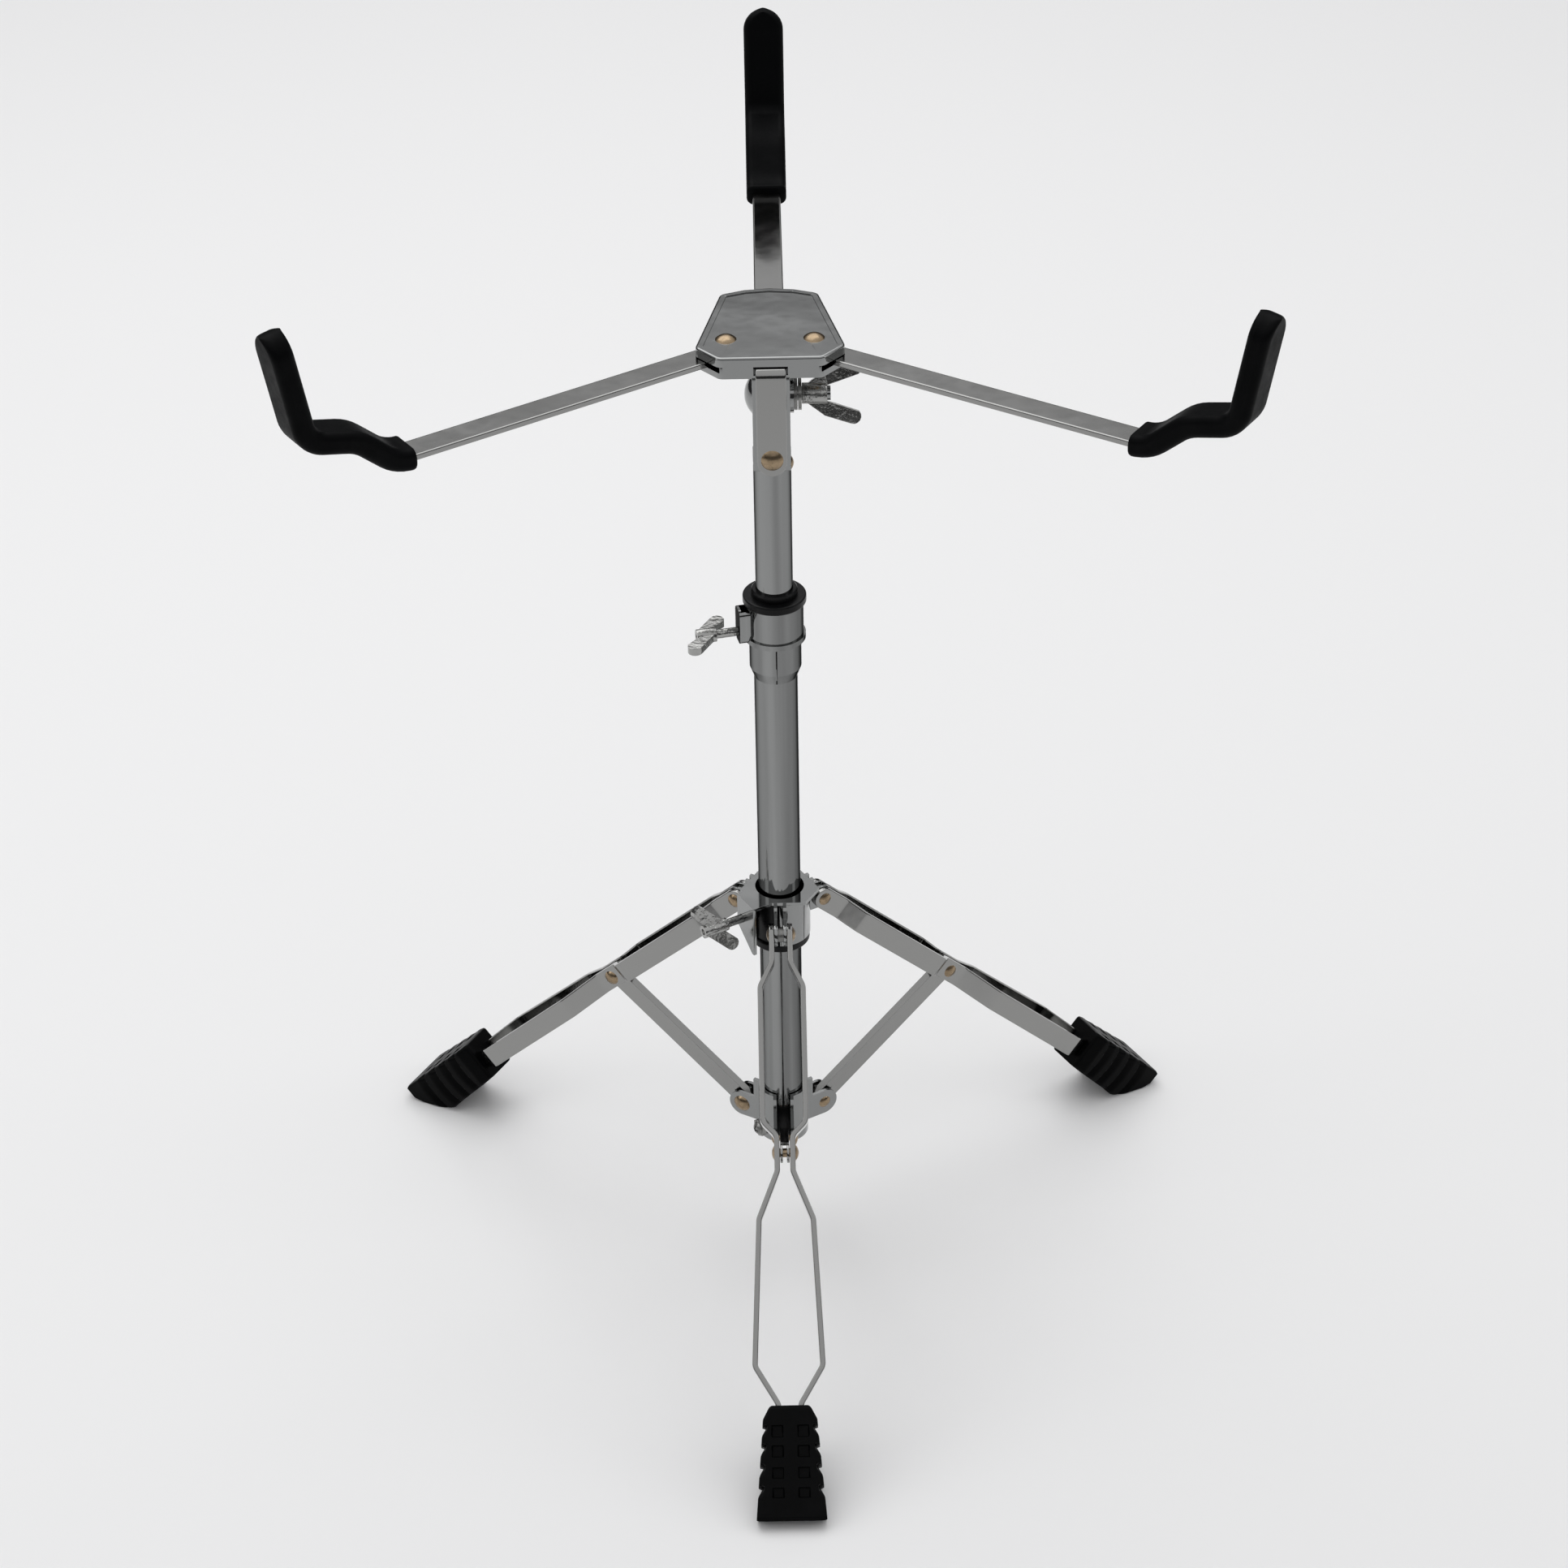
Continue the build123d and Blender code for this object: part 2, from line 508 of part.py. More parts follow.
def plug_rivet():
    head = Pos(UPPER_TUBE_R, 0, 0) * Rot(0, 90, 0) * domed_head(2.8, 1.1)
    body = rod_x(1.49, -UPPER_TUBE_R + 0.3, UPPER_TUBE_R + 0.1) + head
    return Pos(0, 0, 409.5) * body


def tilt_bracket():
    """Channel that hangs from the dish and straddles the tilter's tongue."""
    back_y = 8.0
    web_y0, web_y1 = FRONT_STRAP_Y + 0.02, FRONT_STRAP_Y + 2.0
    low_z, top_z = UPPER_TUBE_TOP_Z + 1.0, DISH_FLOOR_TOP_Z - 1.3
    side_outline = [(web_y0, low_z), (web_y0, DISH_BOTTOM_Z - 0.1), (web_y1 + 0.5, DISH_BOTTOM_Z - 0.1),
                    (web_y1 + 0.5, top_z), (back_y, top_z), (back_y, TILT_AXIS_Z)]
    side_outline += arc_points(0, TILT_AXIS_Z, 8.0, 0, -75)[1:]
    side_outline += [(web_y1 + 4, low_z)]
    channel = Plane.YZ * slab(side_outline, 2 * BRACKET_HALF)
    inner = BRACKET_HALF - BRACKET_SIDE
    channel -= block(-inner, inner, web_y1, 30, 400, 470)
    for side in (1, -1):
        x0, x1 = sorted((side * inner, side * (BRACKET_HALF + 6.0)))
        flange = block(x0, x1, -14, back_y, top_z - 1.4, top_z)
        channel += flange
    channel -= rod_x(TILT_BOLT_R + FIT, -20, 20, z=TILT_AXIS_Z)
    return channel - rod_y(2.01, -30, -15, z=FRONT_RIVET_Z)


def tilt_bolt():
    """Round-headed bolt with a dished head; its thread is drawn as a plain cylinder."""
    head = Pos(-BRACKET_HALF - 0.1, 0, 0) * Rot(0, -90, 0) * domed_head(8.0, 3.2)
    dish = Pos(-BRACKET_HALF - 0.1, 0, 0) * Rot(0, -90, 0) * domed_head(7.0, 1.4)
    dish -= rod_x(4.2, -20, 0)
    bolt = head - dish + rod_x(TILT_BOLT_R, -BRACKET_HALF - 1, 24.6)
    return Pos(0, 0, TILT_AXIS_Z) * bolt


def disc_x(radius, bore, x0, x1):
    return Pos(0, 0, TILT_AXIS_Z) * (rod_x(radius, x0, x1) - rod_x(bore, x0 - 1, x1 + 1))


def tilt_cup_washer():
    x0 = BRACKET_HALF + 0.1
    cup = disc_x(8.0, TILT_BOLT_R + FIT, x0, x0 + 1.6)
    return cup - disc_x(6.6, 4.4, x0 - 0.1, x0 + 0.7)


def tilt_washers():
    bore = TILT_BOLT_R + FIT
    return Compound(children=[disc_x(6.9, bore, 9.5, 10.9), disc_x(6.9, bore, 11.2, 12.6)])


def tilt_wing_nut():
    nut = wing_nut(TILT_BOLT_R + FIT, 4.4, 10.4, 24.4, 13.0, 3.6)
    return Pos(12.8, 0, TILT_AXIS_Z) * Rot(-20, 0, 0) * nut


# ---------------------------------------------------------------- basket
PLATE_OUTLINE = [(21.2, -22.4), (30.6, -11.5), (20.5, 37.3), (10.5, 41.2), (0.0, 42.5),
                 (-10.5, 41.2), (-20.5, 37.3), (-30.6, -11.5), (-21.2, -22.4)]


def plate_face(inset):
    """The plate's outline with eased corners, drawn in by an inset."""
    face = make_face(Polyline(*PLATE_OUTLINE, close=True))
    if inset:
        face = offset(face, -inset, kind=Kind.INTERSECTION)
    return fillet(face.vertices(), max(PLATE_CORNER_R - inset, 1.0))


def plate_slab(z0, z1, inset):
    return Pos(0, 0, z0) * extrude(plate_face(inset), z1 - z0)


def rivet_holes(radius):
    holes = Pos(ARM_PIVOT_X, ARM_PIVOT_Y, 465) * Cylinder(radius, 40)
    return holes + Pos(-ARM_PIVOT_X, ARM_PIVOT_Y, 465) * Cylinder(radius, 40)


def basket_top_plate():
    """Pressed cover: a turned-down rim, a rounded border and a field a step lower."""
    cover = plate_slab(BASKET_RIM_Z, BASKET_PLATE_TOP_Z, 0)
    cover = fillet(cover.faces().sort_by(Axis.Z)[-1].edges(), 1.0)
    cover -= plate_slab(BASKET_RIM_Z - 1, BASKET_PLATE_TOP_Z - BASKET_PLATE_THICK, 1.3)
    cover -= plate_slab(BASKET_FIELD_Z, BASKET_PLATE_TOP_Z + 1, FIELD_INSET)
    return cover - rivet_holes(ARM_RIVET_R + 0.01)


def basket_dish():
    """Lower pressing: floor, skirt, and one skirt opening for each arm and the strap."""
    dish = plate_slab(DISH_BOTTOM_Z, BASKET_RIM_Z - 0.3, 1.0)
    dish -= plate_slab(DISH_FLOOR_TOP_Z, BASKET_RIM_Z + 1, 2.2)
    dish -= plate_slab(DISH_BOTTOM_Z - 1, DISH_FLOOR_TOP_Z - 1.3, 2.2)
    slot = ARM_WIDTH / 2 + 0.8
    dish -= block(-slot, slot, -30, -18, 461.0, 470)
    dish -= block(-slot, slot, 34, 50, DISH_FLOOR_TOP_Z, 470)
    half = ARM_WIDTH / 2 + 0.8
    for side in (1, -1):
        for swing in (0, ARM_SWING / 3, ARM_SWING * 2 / 3, ARM_SWING):
            window = block(-half, half, 0, 30, DISH_FLOOR_TOP_Z, 470)
            dish -= swing_place(Rot(0, 0, -side * swing) * window, side)
    return dish - rivet_holes(ARM_RIVET_R + 0.01)


def seat_z(reach, corner):
    """Height of the seat's mid-plane at a reach from the arm's pivot."""
    return SEAT_CORNER_Z - (corner - reach) * math.tan(math.radians(SEAT_SLOPE))


def arm_line(start, tail=None):
    """Centre line of an arm: flat, then an upward S-bend, a sloping seat and an upright."""
    lean = math.radians(UPRIGHT_LEAN)
    corner = CORNER_REACH + GRIP_THICK / 2 / math.cos(lean)
    rise = UPRIGHT_HEIGHT + GRIP_THICK / 2 - 3.3
    seat_start = seat_z(BEND_END, corner)
    climb = math.atan2(seat_start - ARM_Z, BEND_END - BEND_START)
    ease = 2.5
    run, lift = ease * math.cos(climb), ease * math.sin(climb)
    line = [start, (BEND_START - ease, ARM_Z), (BEND_START + run, ARM_Z + lift)]
    line += [(BEND_END - run, seat_start - lift), (BEND_END + ease, seat_z(BEND_END + ease, corner))]
    line += [(corner - 3.5, seat_z(corner - 3.5, corner)), (corner - 0.8, SEAT_CORNER_Z + 0.8)]
    line += [(corner + 0.4, SEAT_CORNER_Z + 4.0), (corner + rise * math.tan(lean), SEAT_CORNER_Z + rise)]
    return (tail or []) + line


def upright_strip(line, thickness, width):
    """Strip along a line drawn as reach and height, its width across the X axis."""
    return Plane.YZ * slab(ribbon_outline(line, thickness), width)


def rear_arm():
    """The fixed arm: one strap that also bends down in front of the tilter."""
    y_mid = FRONT_STRAP_Y - ARM_THICK / 2
    tail = [(y_mid, FRONT_STRAP_BOTTOM_Z), (y_mid, ARM_Z - 3.0), (y_mid + 0.9, ARM_Z - 0.9)]
    arm = upright_strip(arm_line((y_mid + 3.0, ARM_Z), tail), ARM_THICK, ARM_WIDTH)
    tongue = Pos(0, 0, FRONT_RIVET_Z) * Rot(90, 0, 0) * Cylinder(FRONT_RIVET_Z - FRONT_STRAP_BOTTOM_Z, 60)
    below = block(-20, 20, -40, 0, 400, FRONT_RIVET_Z)
    arm -= below - tongue
    return arm - rod_y(2.01, -30, -15, z=FRONT_RIVET_Z)


def swing_arm_blank():
    """A front arm along +Y from its own pivot at the origin."""
    arm = upright_strip(arm_line((-ARM_WIDTH / 2, ARM_Z)), ARM_THICK, ARM_WIDTH)
    corner_cut = block(-20, 20, -20, 0, 450, 480) - cyl(ARM_WIDTH / 2, 440, 490)
    return arm - corner_cut - cyl(ARM_RIVET_R + FIT, 440, 480)


def grip_blank():
    """Rubber sleeve over the outer end of an arm along +Y."""
    line = arm_line((SLEEVE_START, ARM_Z))
    last, before = line[-1], line[-2]
    lean = math.atan2(last[1] - before[1], last[0] - before[0])
    tip = (last[0] + 3.3 * math.cos(lean), last[1] + 3.3 * math.sin(lean))
    body = upright_strip(line[:-1] + [tip], GRIP_THICK, GRIP_WIDTH)
    half = GRIP_WIDTH / 2
    top_z = tip[1]
    arch = Pos(0, 195, top_z - half) * Rot(90, 0, 0) * Cylinder(half, 90)
    body -= block(-20, 20, 150, 240, top_z - half, top_z + 9) - arch
    body = fillet(body.edges().filter_by(lambda e: e.length > 24 and abs(e.center().X) > half - 0.5), 1.6)
    core = upright_strip(arm_line((SLEEVE_START - 5, ARM_Z)), ARM_THICK + 0.02, ARM_WIDTH + 0.02)
    return body - core


def swing_place(shape, side):
    """Put a blank along +Y onto its front pivot; side is +1 right, -1 left."""
    turn = -90 - ARM_FORWARD_ANGLE if side > 0 else 90 + ARM_FORWARD_ANGLE
    return Pos(side * ARM_PIVOT_X, ARM_PIVOT_Y, 0) * Rot(0, 0, turn) * shape


def arm_rivets():
    low, high = DISH_FLOOR_TOP_Z - 1.3, BASKET_FIELD_Z
    pin = Pos(0, 0, (low + high) / 2) * rivet(ARM_RIVET_R, high - low, 4.4, 1.9, 4.2, 1.5)
    pins = [Pos(side * ARM_PIVOT_X, ARM_PIVOT_Y, 0) * pin for side in (1, -1)]
    return Compound(children=pins)


def basket_spacers():
    top = BASKET_PLATE_TOP_Z - BASKET_PLATE_THICK
    arm_top = ARM_Z + ARM_THICK / 2
    tube = ring(5.4, ARM_RIVET_R + 0.01, arm_top + 0.1, top)
    spacers = [Pos(side * ARM_PIVOT_X, ARM_PIVOT_Y, 0) * tube for side in (1, -1)]
    spacers.append(block(-ARM_WIDTH / 2, ARM_WIDTH / 2, 4, 30, arm_top, top))
    return Compound(children=spacers)


def strap_rivet():
    y0, y1 = FRONT_STRAP_Y - ARM_THICK, FRONT_STRAP_Y + 2.0
    pin = rivet(2.0, y1 - y0, 4.6, 2.0, 3.4, 1.2)
    return Pos(0, (y0 + y1) / 2, FRONT_RIVET_Z) * Rot(90, 0, 0) * pin


# ---------------------------------------------------------------- write the parts
save(lower_tube(), "lower_tube")
save(clamp_collar(), "clamp_collar")
save(clamp_nut(), "clamp_nut")
save(clamp_bush(), "clamp_bush")
save(clamp_screw(), "clamp_screw")
save(end_plug(), "end_plug")
save(upper_tube(), "upper_tube")
save(upper_tube_guide(), "upper_tube_guide")

for name, azimuth in LEG_AZIMUTHS.items():
    save(around(leg_strap(1), azimuth), f"leg_{name}_strap_a")
    save(around(leg_strap(-1), azimuth), f"leg_{name}_strap_b")
    save(around(mid_rivet(), azimuth), f"leg_{name}_rivet")
    save(around(leg_foot(), azimuth), f"leg_{name}_foot")
    lower_eye = BRACKET_PIN_R + FIT if name == "front" else LOOSE_EYE_R
    save(around(brace(lower_eye), azimuth), f"brace_{name}")

save(leg_hub(), "leg_hub")
save(leg_hub_bush(), "leg_hub_bush")
save(leg_hub_nut(), "leg_hub_nut")
save(leg_hub_screw(), "leg_hub_screw")
save(leg_hub_rivets(), "leg_hub_rivets")
save(leg_hub_spacers(), "leg_hub_spacers")

for name, azimuth in {"left": 210.0, "right": 330.0, "rear": 90.0}.items():
    save(bracket_plate(azimuth), f"bracket_plate_{name}")
save(bottom_rivets(), "bottom_rivets")
save(bracket_screw(), "bracket_screw")
save(bracket_nut(), "bracket_nut")

save(tilter_plug(), "tilter_plug")
save(plug_rivet(), "plug_rivet")
save(tilt_bracket(), "tilt_bracket")
save(tilt_bolt(), "tilt_bolt")
save(tilt_cup_washer(), "tilt_cup_washer")
save(tilt_washers(), "tilt_washers")
save(tilt_wing_nut(), "tilt_wing_nut")

save(basket_top_plate(), "basket_top_plate")
save(basket_dish(), "basket_dish")
save(rear_arm(), "rear_arm")
save(grip_blank(), "grip_rear")
for name, side in {"left": -1, "right": 1}.items():
    save(swing_place(swing_arm_blank(), side), f"arm_{name}")
    save(swing_place(grip_blank(), side), f"grip_{name}")
save(arm_rivets(), "arm_rivets")
save(basket_spacers(), "basket_spacers")
save(strap_rivet(), "strap_rivet")
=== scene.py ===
import json
import math

import bmesh
import bpy
from mathutils import Matrix, Vector


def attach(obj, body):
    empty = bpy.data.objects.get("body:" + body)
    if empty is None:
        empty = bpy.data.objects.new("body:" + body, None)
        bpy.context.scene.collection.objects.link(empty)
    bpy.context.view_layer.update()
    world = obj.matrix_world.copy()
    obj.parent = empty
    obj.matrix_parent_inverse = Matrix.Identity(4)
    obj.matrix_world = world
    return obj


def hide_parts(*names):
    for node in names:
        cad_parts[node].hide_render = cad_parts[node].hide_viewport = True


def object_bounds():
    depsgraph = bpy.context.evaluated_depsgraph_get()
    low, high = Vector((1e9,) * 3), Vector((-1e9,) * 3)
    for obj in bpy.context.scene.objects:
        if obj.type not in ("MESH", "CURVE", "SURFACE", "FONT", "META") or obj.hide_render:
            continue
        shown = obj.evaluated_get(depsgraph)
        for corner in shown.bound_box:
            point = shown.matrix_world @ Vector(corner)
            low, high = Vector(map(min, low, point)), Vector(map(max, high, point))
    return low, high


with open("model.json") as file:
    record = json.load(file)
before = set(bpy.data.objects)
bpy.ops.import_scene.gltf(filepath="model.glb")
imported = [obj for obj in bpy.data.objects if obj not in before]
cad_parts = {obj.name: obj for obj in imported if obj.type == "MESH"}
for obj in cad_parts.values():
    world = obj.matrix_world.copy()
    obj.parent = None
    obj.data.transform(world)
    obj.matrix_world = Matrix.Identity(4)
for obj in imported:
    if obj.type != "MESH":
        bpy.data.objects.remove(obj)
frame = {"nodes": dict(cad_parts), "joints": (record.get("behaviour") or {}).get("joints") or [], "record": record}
cad_low, cad_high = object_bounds()

NODES = frame["nodes"]
JOINTS = {joint["name"]: joint for joint in frame["joints"]}
MM = 0.001

# ---------------------------------------------------------------- camera
CAMERA_TARGET = Vector((0.0, 0.0, 0.24795))
CAMERA_DISTANCE = 1.5256
CAMERA_ELEVATION = math.radians(33.81)
CAMERA_AZIMUTH = math.radians(-0.16)
CAMERA_ROLL = math.radians(-1.0125)
CAMERA_LENS = 78.93
CAMERA_SHIFT = 0.00398


def make_camera():
    """The lens, the place and the small roll of the photograph."""
    level = math.cos(CAMERA_ELEVATION)
    back = Vector((math.sin(CAMERA_AZIMUTH) * level, -math.cos(CAMERA_AZIMUTH) * level,
                   math.sin(CAMERA_ELEVATION)))
    right = Vector((0, 0, 1)).cross(back).normalized()
    up = back.cross(right)
    turned_right = right * math.cos(CAMERA_ROLL) + up * math.sin(CAMERA_ROLL)
    turned_up = up * math.cos(CAMERA_ROLL) - right * math.sin(CAMERA_ROLL)
    data = bpy.data.cameras.new("camera")
    data.sensor_width = 36.0
    data.lens = CAMERA_LENS
    data.shift_x = CAMERA_SHIFT
    data.clip_start, data.clip_end = 0.01, 50.0
    camera = bpy.data.objects.new("camera", data)
    bpy.context.scene.collection.objects.link(camera)
    turn = Matrix((turned_right, turned_up, back)).transposed()
    camera.matrix_world = Matrix.Translation(CAMERA_TARGET + back * CAMERA_DISTANCE) @ turn.to_4x4()
    bpy.context.scene.camera = camera


# ---------------------------------------------------------------- materials
class Shader:
    """A material with one Principled shader, and short calls for the nodes that feed it."""

    def __init__(self, name, colour, metallic, roughness):
        self.material = bpy.data.materials.new(name)
        self.material.use_nodes = True
        self.tree = self.material.node_tree
        self.bsdf = self.tree.nodes["Principled BSDF"]
        self.bsdf.inputs["Base Color"].default_value = (*colour, 1.0)
        self.bsdf.inputs["Metallic"].default_value = metallic
        self.bsdf.inputs["Roughness"].default_value = roughness
        self.coords = self.tree.nodes.new("ShaderNodeTexCoord").outputs["Object"]
        self.normal = None

    def link(self, output, socket):
        self.tree.links.new(output, socket)

    def stretched(self, scale):
        mapping = self.tree.nodes.new("ShaderNodeMapping")
        mapping.inputs["Scale"].default_value = scale
        self.link(self.coords, mapping.inputs["Vector"])
        return mapping.outputs["Vector"]

    def noise(self, per_metre, detail=4.0, rough=0.55, stretch=(1, 1, 1)):
        node = self.tree.nodes.new("ShaderNodeTexNoise")
        node.inputs["Scale"].default_value = per_metre
        node.inputs["Detail"].default_value = detail
        node.inputs["Roughness"].default_value = rough
        self.link(self.stretched(stretch), node.inputs["Vector"])
        return node.outputs["Fac"]

    def cells(self, per_metre):
        node = self.tree.nodes.new("ShaderNodeTexVoronoi")
        node.inputs["Scale"].default_value = per_metre
        self.link(self.coords, node.inputs["Vector"])
        return node.outputs["Distance"]

    def remap(self, value, low, high, to_low, to_high):
        node = self.tree.nodes.new("ShaderNodeMapRange")
        for key, number in (("From Min", low), ("From Max", high),
                            ("To Min", to_low), ("To Max", to_high)):
            node.inputs[key].default_value = number
        self.link(value, node.inputs["Value"])
        return node.outputs["Result"]

    def combine(self, operation, first, second):
        node = self.tree.nodes.new("ShaderNodeMath")
        node.operation = operation
        self.link(first, node.inputs[0])
        self.link(second, node.inputs[1])
        return node.outputs[0]

    def blend(self, factor, first, second):
        node = self.tree.nodes.new("ShaderNodeMix")
        node.data_type = "RGBA"
        node.inputs["A"].default_value = (*first, 1.0)
        node.inputs["B"].default_value = (*second, 1.0)
        self.link(factor, node.inputs["Factor"])
        return node.outputs["Result"]

    def colour(self, output):
        self.link(output, self.bsdf.inputs["Base Color"])

    def roughness(self, output):
        self.link(output, self.bsdf.inputs["Roughness"])

    def bump(self, height, strength, distance):
        node = self.tree.nodes.new("ShaderNodeBump")
        node.inputs["Strength"].default_value = strength
        node.inputs["Distance"].default_value = distance
        self.link(height, node.inputs["Height"])
        if self.normal:
            self.link(self.normal, node.inputs["Normal"])
        self.normal = node.outputs["Normal"]
        self.link(self.normal, self.bsdf.inputs["Normal"])


ALONG_TUBE = (1, 1, 0.02)  # stretches a noise into lines along the post


def chrome(name, colour, polish, smudge, edge=1.0, drawn=False, lumps=0.0):
    """Chrome plate: smudges, pin-head pits and a faint ripple. Drawn tube has lines and duller
    streaks along it, and a cast piece has a lumpy surface. edge below 1 darkens its outline."""
    shader = Shader(name, colour, 1.0, 0.1)
    shader.bsdf.inputs["Specular Tint"].default_value = (edge, edge, edge, 1.0)
    smudges = shader.noise(38.0, 5.0, 0.6)
    shader.roughness(shader.remap(smudges, 0.35, 0.72, polish, smudge))
    dull = tuple(channel * (0.6 if drawn else 0.8) for channel in colour)
    pits = shader.remap(shader.cells(420.0), 0.02, 0.07, 1.0, 0.0)
    rare = shader.remap(shader.noise(70.0, 1.0), 0.56, 0.62, 0.0, 1.0)
    marks = shader.combine("MULTIPLY", pits, rare)
    if drawn:
        streaks = shader.remap(shader.noise(95.0, 3.0, 0.5, ALONG_TUBE), 0.42, 0.66, 0.0, 1.0)
        marks = shader.combine("MAXIMUM", marks, streaks)
    shader.colour(shader.blend(marks, colour, dull))
    shader.bump(shader.noise(55.0, 2.0), 0.12, 0.0006)
    if drawn:
        shader.bump(shader.noise(900.0, 3.0, 0.6, ALONG_TUBE), 0.10, 0.00004)
    if lumps:
        shader.bump(shader.noise(330.0, 3.0, 0.55), lumps, 0.0006)
    return shader.material


def plated(name, colour, low, high):
    """Brass or zinc plate: blotched tone, turned roughness and small dents."""
    shader = Shader(name, colour, 1.0, low)
    blotch = shader.noise(240.0, 5.0, 0.65)
    worn = tuple(channel * 0.62 for channel in colour)
    shader.colour(shader.blend(shader.remap(blotch, 0.42, 0.7, 0.0, 1.0), colour, worn))
    shader.roughness(shader.remap(blotch, 0.3, 0.7, low, high))
    shader.bump(shader.noise(700.0, 3.0), 0.25, 0.00012)
    return shader.material


def moulded(name, colour, dusty, low, high, grain, shine):
    """Moulded rubber or nylon: a fine grain, scuffs and a little dust in the tone."""
    shader = Shader(name, colour, 0.0, high)
    shader.bsdf.inputs["Specular IOR Level"].default_value = shine
    scuffs = shader.noise(90.0, 6.0, 0.7)
    shader.colour(shader.blend(shader.remap(scuffs, 0.45, 0.75, 0.0, 1.0), colour, dusty))
    shader.roughness(shader.remap(scuffs, 0.3, 0.7, high, low))
    shader.bump(shader.noise(1500.0, 3.0, 0.6), grain, 0.00012)
    shader.bump(shader.noise(140.0, 3.0), 0.12, 0.0005)
    return shader.material


CHROME = (0.285, 0.29, 0.288)
STRAP_CHROME = (0.30, 0.30, 0.293)
CAST_CHROME = (0.37, 0.37, 0.36)
BRASS = (0.34, 0.255, 0.165)
ZINC = (0.30, 0.30, 0.29)
FOOT_BLACK = (0.0007, 0.0008, 0.0009)
FOOT_DUST = (0.0016, 0.0017, 0.0020)
GRIP_BLACK = (0.0014, 0.0016, 0.0019)
GRIP_DUST = (0.0028, 0.0030, 0.0034)
NYLON_BLACK = (0.0026, 0.0028, 0.0031)
NYLON_DUST = (0.005, 0.005, 0.0056)
MATERIALS = {
    "tube": chrome("chrome_tube", CHROME, polish=0.06, smudge=0.17, edge=0.15, drawn=True),
    "sheet": chrome("chrome_sheet", CHROME, polish=0.06, smudge=0.20),
    "strap": chrome("chrome_strap", STRAP_CHROME, polish=0.06, smudge=0.19),
    "cast": chrome("chrome_cast", CAST_CHROME, polish=0.12, smudge=0.32, lumps=0.9),
    "brass": plated("brass_plate", BRASS, low=0.18, high=0.38),
    "steel": plated("zinc_plate", ZINC, low=0.26, high=0.44),
    "rubber": moulded("foot_rubber", FOOT_BLACK, FOOT_DUST, 0.34, 0.50, grain=0.30, shine=0.075),
    "grip": moulded("grip_rubber", GRIP_BLACK, GRIP_DUST, 0.42, 0.60, grain=0.22, shine=0.05),
    "nylon": moulded("black_nylon", NYLON_BLACK, NYLON_DUST, 0.24, 0.40, grain=0.14, shine=0.16),
}

TUBES = ("lower_tube", "upper_tube", "clamp_collar")
CAST = ("clamp_screw", "leg_hub_screw", "tilt_wing_nut")
ARMS = ("rear_arm", "arm_left", "arm_right")
SLOTS = {part["node"]: part["material_slot"] for part in frame["record"]["subparts"]}


def material_for(node):
    """The finish of a CAD node: by its family first, then by the record's slot."""
    if node in TUBES:
        return MATERIALS["tube"]
    if node in CAST:
        return MATERIALS["cast"]
    if node in ARMS or "_strap_" in node or node.startswith("brace_"):
        return MATERIALS["strap"]
    return MATERIALS.get(SLOTS[node], MATERIALS["sheet"])


SHARP_ANGLE = math.radians(38)  # faces that meet at more than this have a sharp edge
# The pressed and cast CAD nodes whose edges are eased, with the width of the ease in millimetres.
SOFTENED = {
    "basket_top_plate": 0.2, "basket_dish": 0.25,
    "clamp_screw": 0.5, "leg_hub_screw": 0.5, "tilt_wing_nut": 0.6, "leg_hub": 0.3,
    "tilt_bracket": 0.3, "brace_front": 0.3, "brace_left": 0.3, "brace_right": 0.3,
}


def soften(node, width):
    """Ease the sharp edges of a pressed or cast node, so that they catch the light."""
    weld = node.modifiers.new("weld", "WELD")
    weld.merge_threshold = 0.00001
    bevel = node.modifiers.new("soften", "BEVEL")
    bevel.width = width * MM
    bevel.segments = 2
    bevel.limit_method = "ANGLE"
    bevel.angle_limit = SHARP_ANGLE
    bevel.harden_normals = True


def dress_cad_nodes():
    for name, node in NODES.items():
        node.data.materials.clear()
        node.data.materials.append(material_for(name))
        if name in SOFTENED:
            soften(node, SOFTENED[name])


# ---------------------------------------------------------------- mesh helpers
def add_piece(name, mesh, material, body, slot, *nodes):
    """Link a mesh as a piece that rides on a body and stands for CAD nodes."""
    mesh.materials.append(MATERIALS[material])
    for polygon in mesh.polygons:
        polygon.use_smooth = True
    mesh.set_sharp_from_angle(angle=SHARP_ANGLE)
    piece = bpy.data.objects.new(name, mesh)
    bpy.context.scene.collection.objects.link(piece)
    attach(piece, body)
    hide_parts(*nodes)


ARC_STEP = math.radians(7)
INNER_ROOM = 0.48  # share of an inner piece of a line that the arc at either end may take
END_ROOM = 0.9     # the same of the first and last piece, which have one arc


def arc_between(start, centre, turn):
    """Points of an arc from its start about its centre, in even steps of ARC_STEP or less."""
    count = max(2, math.ceil(abs(turn) / ARC_STEP))
    spoke = start - centre
    points = []
    for i in range(count + 1):
        angle = -turn * i / count
        points.append(centre + Vector((spoke.x * math.cos(angle) - spoke.y * math.sin(angle),
                                       spoke.x * math.sin(angle) + spoke.y * math.cos(angle))))
    return points


